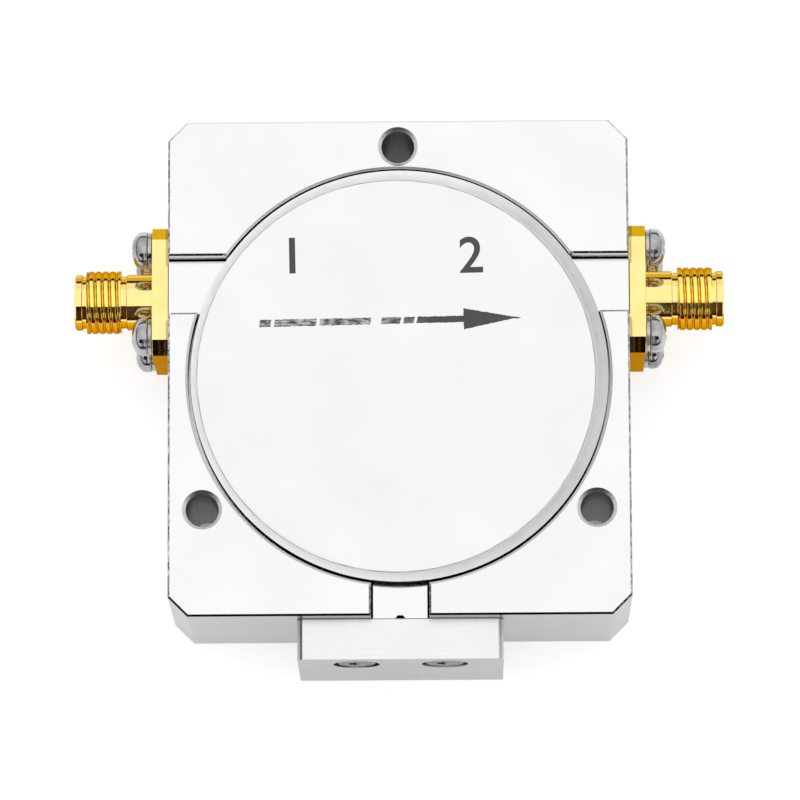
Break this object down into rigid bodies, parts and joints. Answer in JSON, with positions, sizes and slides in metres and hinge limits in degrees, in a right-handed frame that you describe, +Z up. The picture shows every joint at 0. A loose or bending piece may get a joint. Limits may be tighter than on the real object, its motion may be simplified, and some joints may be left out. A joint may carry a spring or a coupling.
{
  "type": "coaxial isolator",
  "caption": "Flat machined block with a round lid over a ferrite junction, a threaded coaxial jack on each side and a load block on the front face.",
  "frame": {"origin": "centre of the mounting face, under the axis of the round lid", "axes": "+X runs along the two connectors to the right one, +Y to the back, away from the load block, +Z up to the lid"},
  "size_m": [0.064, 0.053, 0.018],
  "materials": {
    "housing_plate": "bright nickel plate over machined steel",
    "lid_plate": "bright nickel plate over faced steel",
    "cover_aluminium": "milled, bright",
    "magnet_ferrite": "ground dark ceramic",
    "nickel_iron": "rolled nickel-iron sheet",
    "pole_steel": "ground soft steel",
    "microwave_ferrite": "lapped garnet ferrite",
    "line_ceramic": "matt dielectric ceramic",
    "silvered_copper": "silver-plated copper strip",
    "gold_plate": "polished gold plate over turned brass",
    "insulator_ptfe": "turned PTFE",
    "contact_gold": "gold plate over beryllium copper",
    "screw_steel": "stainless steel, as headed",
    "washer_steel": "plated spring steel",
    "block_aluminium": "brushed along its length",
    "load_ceramic": "fired white ceramic"
  },
  "bodies": {
    "root": {"housing": "housing_plate", "lid": "lid_plate", "slot_cover_left": "cover_aluminium", "slot_cover_right": "cover_aluminium", "slot_cover_front": "cover_aluminium", "magnet_lower": "magnet_ferrite", "magnet_upper": "magnet_ferrite", "compensation_disc_lower": "nickel_iron", "compensation_disc_upper": "nickel_iron", "pole_piece_lower": "pole_steel", "pole_piece_upper": "pole_steel", "ferrite_disc_lower": "microwave_ferrite", "ferrite_disc_upper": "microwave_ferrite", "dielectric_ring_lower": "line_ceramic", "dielectric_ring_upper": "line_ceramic", "centre_conductor": "silvered_copper", "connector_shell_left": "gold_plate", "connector_shell_right": "gold_plate", "connector_insulator_left": "insulator_ptfe", "connector_insulator_right": "insulator_ptfe", "contact_left": "contact_gold", "contact_right": "contact_gold", "flange_screws_left": "screw_steel", "flange_screws_right": "screw_steel", "spring_washers_left": "washer_steel", "spring_washers_right": "washer_steel", "load_block": "block_aluminium", "load_screws": "screw_steel", "load_base": "load_ceramic", "load_cap": "load_ceramic", "load_tab": "silvered_copper"}
  },
  "joints": []
}
